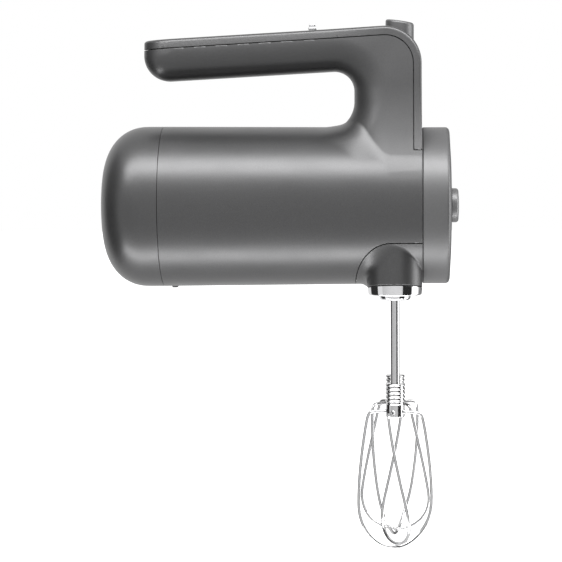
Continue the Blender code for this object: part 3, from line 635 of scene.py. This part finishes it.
def make_paints():
    """One finish for each material slot of the record, and one for the badge."""
    duller = (0.4, 0.46), 0.6
    return {
        "body_paint": satin_paint("charcoal_satin", (0.056, 0.056, 0.057), (0.086, 0.086, 0.087)),
        "trim": satin_paint("charcoal_trim", (0.085, 0.085, 0.086), (0.115, 0.115, 0.117), *duller),
        "badge": satin_paint("badge_satin", (0.13, 0.13, 0.132), (0.17, 0.17, 0.172), *duller),
        "chrome": polished("chrome", (0.72, 0.72, 0.73), 0.05, grain=300, depth=0.000001),
        "beater_steel": polished("polished_steel", (0.55, 0.55, 0.555), 0.12, (8, 8, 0.4)),
        "machined_steel": polished("machined_steel", (0.52, 0.52, 0.54), 0.34, (0.3, 6, 6)),
        "bearing_bronze": polished("sintered_bronze", (0.56, 0.38, 0.2), 0.42, depth=0.00001),
        "gear_nylon": moulded("white_nylon", (0.78, 0.77, 0.72), 0.45),
        "black_plastic": moulded("black_plastic", (0.025, 0.025, 0.027), 0.5),
        "cast_alloy": moulded("cast_alloy", (0.55, 0.55, 0.56), 0.5, 700, 0.00004, 1.0),
        "magnet": moulded("ferrite", (0.07, 0.07, 0.08), 0.6),
        "copper": polished("copper", (0.72, 0.4, 0.25), 0.3, (0.3, 6, 6)),
        "cell_wrap": moulded("cell_wrap", (0.08, 0.26, 0.45), 0.32, 300, 0.00001),
        "circuit_board": circuit_board(),
        "rubber": moulded("grey_rubber", (0.085, 0.085, 0.087), 0.62, 2200, 0.00003),
        "lens": moulded("smoked_lens", (0.5, 0.52, 0.54), 0.12, 500, 0.000004),
    }


def paint_frame(paints):
    """Every CAD node gets its slot's finish, for the inner pieces that stay."""
    slots = {row["node"]: row["material_slot"] for row in frame["record"]["subparts"]}
    for name, obj in frame["nodes"].items():
        obj.data.materials.clear()
        obj.data.materials.append(paints[slots[name]])


# ---------------------------------------------------------------- moulded pieces


def moulding(name, field, low, high, step):
    points, quads = contour(field, low, high, step)
    return mesh_object(name, points, quads)


def make_body(paints):
    step = 0.7
    paint = paints["body_paint"]
    low, high = HOUSING_LOW - 3, np.array([FRONT_SEAM + 3, 1.4, COVER_HIGH[2] + 3])
    low[1] = -REAR_R - 3
    points, quads = contour(housing_field, low, high, step)
    right = mesh_object("housing_right_moulding", points, quads)
    show(right, "housing", "body_paint", paint, "housing_right")
    left = mesh_object("housing_left_moulding", points * (1, -1, 1), quads[:, ::-1])
    show(left, "housing", "body_paint", paint, "housing_left")
    margin = np.array((3, 12, 3))  # the column's foot is wider here than in the CAD
    cover = moulding("top_cover_moulding", cover_field, COVER_LOW - margin, COVER_HIGH + margin, step)
    show(cover, "housing", "body_paint", paint, "top_cover")
    nose = moulding("nose_cover_moulding", nose_field, NOSE_LOW - 3, NOSE_HIGH + 3, step * 0.75)
    show(nose, "housing", "body_paint", paint, "nose_cover")
    flap = moulding("charge_flap_moulding", flap_field, FLAP_LOW - 2, FLAP_HIGH + 2, 0.35)
    show(flap, "charge_flap", "rubber", paints["rubber"], "charge_flap")
    low, high = NOSE_LOW.copy(), HOUSING_HIGH.copy()
    low[:2] = HOUSING_LOW[0], -REAR_R
    high[1] = REAR_R
    backing = moulding("seam_backing", backing_field, low - 3, high + 3, 1.4)
    show(backing, "housing", "black_plastic", paints["black_plastic"])


# ---------------------------------------------------------------- turned pieces


def arc(centre, radius, start, end, steps=5):
    """(radius, height) points on an arc between two angles in degrees."""
    points = []
    for i in range(steps + 1):
        angle = math.radians(start + (end - start) * i / steps)
        points.append((centre[0] + radius * math.cos(angle), centre[1] + radius * math.sin(angle)))
    return points


def turned(name, profile, along_x=False, at=(0, 0, 0), segments=128):
    """A turned piece about Z, or about X, from (radius, height) points."""
    angles = np.arange(segments) * math.tau / segments
    rings, points = [], []
    for radius, height in profile:
        if radius < 1e-6:
            rings.append([len(points)] * segments)
            points.append((0, 0, height))
        else:
            rings.append(list(range(len(points), len(points) + segments)))
            points += [(radius * math.cos(a), radius * math.sin(a), height) for a in angles]
    faces = []
    pairs = list(zip(rings, rings[1:]))
    if profile[0][0] > 1e-6:
        pairs.append((rings[-1], rings[0]))
    for low, high in pairs:
        for i in range(segments):
            corners = (low[i - 1], low[i], high[i], high[i - 1])
            face = list(dict.fromkeys(corners))
            if len(face) > 2:
                faces.append(face)
    points = np.array(points, float)
    if along_x:
        points = points[:, [2, 0, 1]]
    obj = mesh_object(name, points + np.array(at), faces, 30.0)
    bm = bmesh.new()
    bm.from_mesh(obj.data)
    bmesh.ops.recalc_face_normals(bm, faces=bm.faces)
    bm.to_mesh(obj.data)
    bm.free()
    return obj


def dome(length, flat_r, side_r, start, steps):
    """A superellipse from the flat at the barrel's rear to its side."""
    points = []
    for i in range(steps + 1):
        t = 1 - math.cos(math.pi / 2 * i / steps)
        rise = (1 - (1 - t) ** DOME_POWER) ** (1 / DOME_POWER)
        points.append((flat_r + (side_r - flat_r) * rise, start + length * t))
    return points


def make_rear_cap(paints):
    """The rounded rear end, with a thin lip that fits inside the housing."""
    end = CAP_HIGH[0] - 3.5
    edge_r = 0.45
    lip_r = REAR_R - WALL - 0.4
    outside = [(0, CAP_LOW[0]), *dome(DOME_LENGTH, DOME_FLAT_R, REAR_R, CAP_LOW[0], 40)]
    rim = arc((REAR_R - edge_r, end - edge_r), edge_r, 0, 90, 4)
    lip = [(lip_r, end), (lip_r, CAP_HIGH[0]), (lip_r - WALL, CAP_HIGH[0])]
    inside = dome(DOME_LENGTH - WALL, DOME_FLAT_R - 1, lip_r - WALL, WALL, 20)
    profile = [*outside, *rim, *lip, *reversed(inside), (0, WALL)]
    cap = turned("rear_cap_moulding", profile, along_x=True, segments=180)
    show(cap, "housing", "body_paint", paints["body_paint"], "rear_cap")


def make_front_cover(paints):
    """The slightly crowned disc at the front."""
    low, high = FRONT_LOW[0], FRONT_HIGH[0]
    edge_r, rim_r, bore = 2.6, 0.4, 9
    face = [(bore, high - 0.02), (20, high - 0.15), (32, high - 0.55), (FRONT_R - edge_r, high - 1.4)]
    edge = arc((FRONT_R - edge_r, high - 1.4 - edge_r), edge_r, 84, 0, 8)
    rim = arc((FRONT_R - rim_r, low + rim_r), rim_r, 0, -90, 4)
    inside = [(FRONT_R - WALL, low), (FRONT_R - WALL, high - 4.2), (bore, high - 2.6)]
    cover = turned("front_cover_moulding", [*face, *edge, *rim, *inside], True, segments=180)
    show(cover, "housing", "trim", paints["trim"], "front_cover")


def make_badge(paints):
    """The blank round boss on the front cover."""
    radius, tip = BADGE_HIGH[2], BADGE_HIGH[0]
    foot, stem_r, edge_r = FRONT_HIGH[0] + 0.35, 8.7, 1.9
    crown = [(0, tip), (5, tip - 0.08), (radius - 2.0, tip - 0.35)]
    edge = arc((radius - edge_r, tip - 0.35 - edge_r), edge_r, 87, 0, 7)
    stem = [(radius, foot), (stem_r, foot), (stem_r, BADGE_LOW[0]), (0, BADGE_LOW[0])]
    badge = turned("front_badge_moulding", [*crown, *edge, *stem], True, segments=96)
    show(badge, "housing", "trim", paints["badge"], "front_badge")


def make_seam_shade_ring(paints):
    """A dark ring that closes the gap behind the front cover; its black is painted shade for the
    shade inside the seam.
    """
    inner_r, outer_r, end = 40.0, FRONT_R - 0.5, FRONT_LOW[0] - 0.05
    ring = [(inner_r, FRONT_SEAM), (outer_r, FRONT_SEAM), (outer_r, end), (inner_r, end)]
    # painted shade: the ring is black to stand in for the shade inside the front seam
    shade_ring = turned("front_seam_shade_ring", ring, True, segments=120)
    show(shade_ring, "housing", "black_plastic", paints["black_plastic"])


def make_collar(paints, side, at):
    """The bright collar under one boss, its top following the nose's underside."""
    top, foot = COLLAR_HIGH[2], COLLAR_LOW[2]
    outer, bore = (COLLAR_HIGH[0] - COLLAR_LOW[0]) / 2, 5.4
    wall = [(bore, top), (outer - 0.3, top), (outer, top - 0.3), (outer - 0.4, foot + 1.2)]
    edge = arc((outer - 1.4, foot + 1.0), 1.0, 0, -90, 6)
    collar = turned(f"collar_{side}_shell", [*wall, *edge, (bore, foot)], at=at)
    for vertex in collar.data.vertices:
        if vertex.co.z > (top - 0.5) * MM:
            vertex.co.z += nose_rise(vertex.co.y / MM) * MM
    show(collar, "housing", "chrome", paints["chrome"], f"nose_collar_{side}")


def make_spindle(paints, side, at):
    """The hollow spindle that drives one beater, with the hub at its lower end."""
    hub_r, tube_r, bore, edge_r = (HUB_HIGH[0] - HUB_LOW[0]) / 2, 5.0, 3.05, 2.0
    low, high, shoulder = HUB_LOW[2], HUB_HIGH[2], COLLAR_LOW[2] - 0.3
    tube = [(bore, high), (tube_r - 0.5, high), (tube_r, high - 0.5), (tube_r, shoulder)]
    edge = arc((hub_r - edge_r, low + edge_r), edge_r, 0, -90, 8)
    profile = [*tube, (hub_r, shoulder), *edge, (bore + 0.6, low), (bore, low + 0.6)]
    hub = turned(f"spindle_{side}_turned", profile, at=at)
    show(hub, f"spindle_{side}", "beater_steel", paints["chrome"], f"spindle_{side}")


def make_nose_metal(paints):
    for side, sign in SIDES.items():
        at = (BEATER_X, sign * BEATER_Y, 0)
        make_collar(paints, side, at)
        make_spindle(paints, side, at)


# ---------------------------------------------------------------- beaters


def make_beaters(paints):
    for side, sign in SIDES.items():
        body, at = f"beater_{side}", (BEATER_X, sign * BEATER_Y, 0)
        steel = paints["beater_steel"]
        shaft_r = (SHAFT_HIGH[0] - SHAFT_LOW[0]) / 2
        top, low = SHAFT_HIGH[2], SHAFT_LOW[2]
        notch = top - 9.0
        profile = [(0, top), (shaft_r - 1.1, top), (shaft_r, top - 1.4)]
        profile += [(shaft_r, notch + 1.2), (shaft_r - 0.5, notch + 0.6)]
        profile += [(shaft_r - 0.5, notch - 0.6), (shaft_r, notch - 1.2)]
        profile += [(shaft_r, low), (0, low)]
        shaft = turned(f"shaft_{side}_turned", profile, at=at, segments=64)
        show(shaft, body, "beater_steel", steel, f"beater_shaft_{side}")
        sleeve = turned(f"sleeve_{side}_turned", sleeve_profile(shaft_r), at=at, segments=96)
        show(sleeve, body, "beater_steel", steel, f"beater_sleeve_{side}")
        for i, letter in enumerate("ab"):
            points = wire_path(TURN[side] + i * math.pi / 2, i * LOOP_STEP) + np.array(at)
            wire = sweep(f"wire_{side}_{letter}_drawn", points, WIRE_R, 14)
            show(wire, body, "beater_steel", steel, f"beater_wire_{side}_{letter}")
        for i in range(4):
            angle = TURN[side] + i * math.pi / 2
            weld = weld_bead(f"weld_{side}_{i + 1}", angle, np.array(at))
            show(weld, body, "beater_steel", steel)


def sleeve_profile(shaft_r):
    """A crimped sleeve: five rounded ribs over a plain barrel that holds the wires."""
    top, low = SLEEVE_HIGH[2], SLEEVE_LOW[2]
    outer, pitch = 6.1, 2.4
    profile = [(shaft_r + 0.12, top)]
    for i in range(5):
        z = top - pitch * i
        profile += [(outer - 0.7, z - 0.02), *arc((outer - 0.75, z - 1.0), 0.75, 55, -55, 5)]
        profile.append((outer - 0.7, z - 1.98))
    profile += [(outer - 0.7, top - 12.3), (outer - 0.35, top - 12.9), (outer - 0.35, low + 1.1)]
    profile += arc((outer - 1.35, low + 1.0), 1.0, 0, -90, 4)
    return [*profile, (0, low), (0, low + 1.9), (shaft_r + 0.12, low + 1.9)]


def cage_radius(z):
    """The cage's outline: an ellipse below its widest place, a slow taper above it."""
    if z < CAGE_WIDEST:
        share = (z - CAGE_WIDEST) / (CAGE_FOOT - CAGE_WIDEST)
        return CAGE_R * math.sqrt(max(0.0, 1 - share**2))
    share = (z - CAGE_WIDEST) / (WIRE_EXIT - SHOULDER_DROP - CAGE_WIDEST)
    return CAGE_R - (CAGE_R - SHOULDER_R) * share**SHOULDER_POWER


def wire_path(azimuth, lift):
    """One loop, from the sleeve down round the cage's foot and up the other side."""
    foot = CAGE_FOOT + lift
    shoulder, steps = WIRE_EXIT - SHOULDER_DROP, 46
    side = [(4.2, WIRE_EXIT), (8.0, WIRE_EXIT), (12.4, WIRE_EXIT)]
    for angle in (0.2, 0.6, 1.0, 1.4):
        out, up = WIRE_BEND_R * math.sin(angle), WIRE_BEND_R * math.cos(angle)
        side.append((14.0 + out, WIRE_EXIT - WIRE_BEND_R + up))
    for i in range(steps):
        z = shoulder + (foot - shoulder) * math.sin(math.pi / 2 * i / steps)
        deep = (CAGE_FOOT - CAGE_WIDEST) / (foot - CAGE_WIDEST) if z < CAGE_WIDEST else 1
        side.append((cage_radius(CAGE_WIDEST + (z - CAGE_WIDEST) * deep), z))
    side.append((0.0, foot))
    places = []
    for radius, z in side:
        angle = azimuth + CAGE_TWIST * (WIRE_EXIT - z) / (WIRE_EXIT - foot)
        places.append((radius * math.cos(angle), radius * math.sin(angle), z))
    near = np.array(places)
    points = np.concatenate([near, near[-2::-1] * (-1, -1, 1)])
    for _ in range(3):
        points[1:-1] = (points[:-2] + 2 * points[1:-1] + points[2:]) / 4
    return points


def sweep(name, points, radius, sides):
    """A round tube along points, with caps. The radius is one number, or one for each point."""
    radii = np.broadcast_to(radius, len(points))
    along = np.gradient(points, axis=0)
    along /= np.linalg.norm(along, axis=1)[:, None]
    normal = np.cross(along[0], (0.0, 0.0, 1.0) if abs(along[0][2]) < 0.9 else (1.0, 0.0, 0.0))
    vertices = []
    for i, (point, direction) in enumerate(zip(points, along)):
        normal = normal - direction * normal.dot(direction)
        normal /= np.linalg.norm(normal)
        other = np.cross(direction, normal)
        for k in range(sides):
            angle = math.tau * k / sides
            vertices.append(point + radii[i] * (normal * math.cos(angle) + other * math.sin(angle)))
    faces = []
    for i in range(len(points) - 1):
        for k in range(sides):
            a, b = i * sides + k, i * sides + (k + 1) % sides
            faces.append((a, b, b + sides, a + sides))
    faces.append(tuple(range(sides))[::-1])
    faces.append(tuple(range((len(points) - 1) * sides, len(points) * sides)))
    return mesh_object(name, np.array(vertices), faces, 40.0)


def weld_bead(name, angle, at):
    """The swaged collar where a wire enters the sleeve."""
    out = np.array((math.cos(angle), math.sin(angle), 0.0))
    reach = np.array([5.2, 5.8, 6.1, 6.35, 6.5])
    radii = np.array([1.5, 1.5, 1.42, 1.25, 1.08])
    points = at + out * reach[:, None] + np.array((0, 0, WIRE_EXIT))
    return sweep(name, points, radii, 16)


# ---------------------------------------------------------------- controls


def make_ejector(paints):
    """The round eject button, with its slanted and softened top."""
    slope = math.tan(math.radians(8.4))
    foot = BUTTON_LOW[2]
    crown = BUTTON_HIGH[2] - EJECTOR_R * slope
    profile = [(0, 0.0), (EJECTOR_R - 3.0, -0.12), (EJECTOR_R - 1.5, -0.3)]
    profile += arc((EJECTOR_R - 1.6, -1.85), 1.6, 78, 0, 6)
    heights = [height for _, height in profile]
    profile.append((EJECTOR_R, foot - crown))
    profile += [(3.6, foot - crown), (3.6, foot + 6 - crown), (0, foot + 6 - crown)]
    button = turned("ejector_button_moulding", profile, at=(EJECTOR_X, 0, crown), segments=96)
    top = (crown + min(heights) - 0.1) * MM
    for vertex in button.data.vertices:
        if vertex.co.z > top:
            vertex.co.z -= (vertex.co.x - EJECTOR_X * MM) * slope
    show(button, "ejector", "trim", paints["trim"], "ejector_button")


def make_spring(paints):
    """The ejector's return spring, at its rest length."""
    (left, _, low), (right, _, high) = span("ejector_spring")
    wire, turns, steps = 0.45, 3, 32
    radius = (right - left) / 2 - wire
    share = np.linspace(0, 1, turns * steps + 1)
    angle = math.tau * turns * share
    height = low + wire + (high - low - 2 * wire) * share
    coil = np.stack([EJECTOR_X + radius * np.cos(angle), radius * np.sin(angle), height], axis=1)
    spring = sweep("ejector_spring_coil", coil, wire, 10)
    show(spring, "housing", "machined_steel", paints["machined_steel"], "ejector_spring")
    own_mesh(spring)


def block(u, v, w, half, corner_r, edge_r):
    """A block of three half sizes, with rounded corners seen from above and rounded edges."""
    outline = both(np.abs(u) - half[0], np.abs(v) - half[1], corner_r)
    return both(outline, np.abs(w) - half[2], edge_r)


def make_slider(paints):
    """The bright speed tab: a low shoe, a grooved grip on it and the stem through the slot."""
    shoe_half, shoe_up = (2.5, 6.0, 0.75), 1.2
    grip_half, grip_up = (2.1, 5.4, 1.6), 2.55
    stem_half, stem_up = (1.5, 1.8, 2.75), -2.0
    grooves_up, groove_half, groove_floor = (2.55, 3.3), 0.22, 1.78
    surface = TAB_HIGH[2] - 4.3
    cos, sin = math.cos(SLOPE), math.sin(SLOPE)

    def tab_field(x, y, z):
        u = (x - SLIDER_X) * cos + (z - surface) * sin
        w = (z - surface) * cos - (x - SLIDER_X) * sin
        shoe = block(u, y, w - shoe_up, shoe_half, 1.2, 0.4)
        grip = block(u, y, w - grip_up, grip_half, 1.1, 0.7)
        for up in grooves_up:
            groove = np.maximum(np.abs(w - up) - groove_half, groove_floor - np.abs(u))
            grip = np.maximum(grip, -groove)
        stem = np.maximum(np.abs(u) - stem_half[0], np.abs(y) - stem_half[1])
        stem = np.maximum(stem, np.abs(w - stem_up) - stem_half[2])
        return np.minimum(np.minimum(shoe, grip), stem)

    points, quads = contour(tab_field, TAB_LOW - 1, TAB_HIGH + 1, 0.22)
    tab = mesh_object("speed_slider_tab", points, quads)
    show(tab, "speed_slider", "chrome", paints["chrome"], "speed_slider")


# ---------------------------------------------------------------- floor, camera and lights


def make_floor():
    size, drop = FLOOR_HALF * MM, CAD_BOX[0][2] - FLOOR_DROP * MM
    mesh = bpy.data.meshes.new("studio_floor")
    corners = [(-size, -size, drop), (size, -size, drop), (size, size, drop), (-size, size, drop)]
    mesh.from_pydata(corners, [], [(0, 1, 2, 3)])
    floor = bpy.data.objects.new("studio_floor", mesh)
    bpy.context.scene.collection.objects.link(floor)
    paint = Paint("floor_paper").set(Metallic=0.0, Specular_IOR_Level=0.0)
    paint.set(Emission_Color=(1, 1, 1, 1), Emission_Strength=FLOOR_GLOW)
    cloud = paint.noise(3.0)
    paint.colour(cloud, (0.9, 0.9, 0.9), (0.93, 0.93, 0.93))
    paint.roughness(cloud, 0.9, 1.0)
    paint.bump(paint.noise(400), 0.00002, 0.2)
    floor.data.materials.append(paint.material)
    floor.visible_glossy = False
    floor.visible_diffuse = False
    floor.visible_shadow = False
    floor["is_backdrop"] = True


def make_camera():
    camera = bpy.data.cameras.new("studio_camera")
    camera.lens = CAMERA_LENS
    camera.sensor_width = 36
    camera.clip_end = 50
    obj = bpy.data.objects.new("studio_camera", camera)
    aim = Vector(CAMERA_AIM) - Vector(CAMERA_AT)
    turn = aim.to_track_quat("-Z", "Y").to_matrix().to_4x4()
    roll = Matrix.Rotation(math.radians(CAMERA_ROLL), 4, "Z")
    obj.matrix_world = Matrix.Translation(Vector(CAMERA_AT) * MM) @ turn @ roll
    bpy.context.scene.collection.objects.link(obj)
    bpy.context.scene.camera = obj


def make_world():
    world = bpy.data.worlds.new("studio_sky")
    world.use_nodes = True
    world.node_tree.nodes["Background"].inputs["Color"].default_value = (1, 1, 1, 1)
    world.node_tree.nodes["Background"].inputs["Strength"].default_value = SKY_STRENGTH
    bpy.context.scene.world = world
    bpy.context.scene.view_settings.view_transform = "Standard"


def facing(obj, azimuth, elevation):
    """Places a light or flag on a sphere about the mixer, facing its middle.

    Azimuth is measured from the camera's side (-Y) towards +X.
    """
    a, e = math.radians(azimuth), math.radians(elevation)
    way = Vector((math.sin(a) * math.cos(e), -math.cos(a) * math.cos(e), math.sin(e)))
    turn = (-way).to_track_quat("-Z", "Y").to_matrix().to_4x4()
    obj.matrix_world = Matrix.Translation((Vector(STUDIO_MIDDLE) + way * STUDIO_REACH) * MM) @ turn


def softbox(name, azimuth, elevation, size, power):
    """A soft light of size millimetres, itself out of the camera's sight."""
    light = bpy.data.lights.new(name, "AREA")
    light.shape = "RECTANGLE"
    light.size, light.size_y = size[0] * MM, size[1] * MM
    light.energy = power
    obj = bpy.data.objects.new(name, light)
    facing(obj, azimuth, elevation)
    obj.visible_camera = False
    bpy.context.scene.collection.objects.link(obj)


def flag(name, azimuth, elevation, size, shade=0.02):
    """A card of one grey shade, seen only in reflections."""
    mesh = bpy.data.meshes.new(name)
    x, y = size[0] * MM / 2, size[1] * MM / 2
    mesh.from_pydata([(-x, -y, 0), (x, -y, 0), (x, y, 0), (-x, y, 0)], [], [(0, 1, 2, 3)])
    obj = bpy.data.objects.new(name, mesh)
    facing(obj, azimuth, elevation)
    paint = Paint(f"{name}_cloth").set(Specular_IOR_Level=0.0)
    weave = paint.noise(900)
    paint.colour(weave, (shade * 0.8,) * 3, (shade * 1.2,) * 3)
    paint.roughness(weave, 0.9, 1.0)
    paint.bump(weave, 0.0001, 0.3)
    obj.data.materials.append(paint.material)
    obj.visible_camera = False
    obj.visible_shadow = False
    bpy.context.scene.collection.objects.link(obj)
    obj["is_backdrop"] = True


def make_studio():
    make_floor()
    make_camera()
    make_world()
    softbox("top_softbox", 0, 62, (1650, 350), 20)
    softbox("low_softbox", -4, -71, (1900, 260), 14)
    flag("camera_card", 0, -8, (2200, 800), shade=0.55)
    flag("left_flag", -98, 0, (800, 1500))
    flag("right_flag", 55, 0, (620, 1500))
    flag("back_flag", 142, 0, (800, 1500), shade=0.15)
    softbox("side_strip", 93, 0, (400, 1400), 8)


def main():
    paints = make_paints()
    paint_frame(paints)
    make_body(paints)
    make_rear_cap(paints)
    make_front_cover(paints)
    make_badge(paints)
    make_seam_shade_ring(paints)
    make_nose_metal(paints)
    make_beaters(paints)
    make_ejector(paints)
    make_spring(paints)
    make_slider(paints)
    make_studio()


main()
sizes = {"cad": CAD_BOX, "visual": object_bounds()}
sizes = {name: [[float(v) for v in corner] for corner in box] for name, box in sizes.items()}
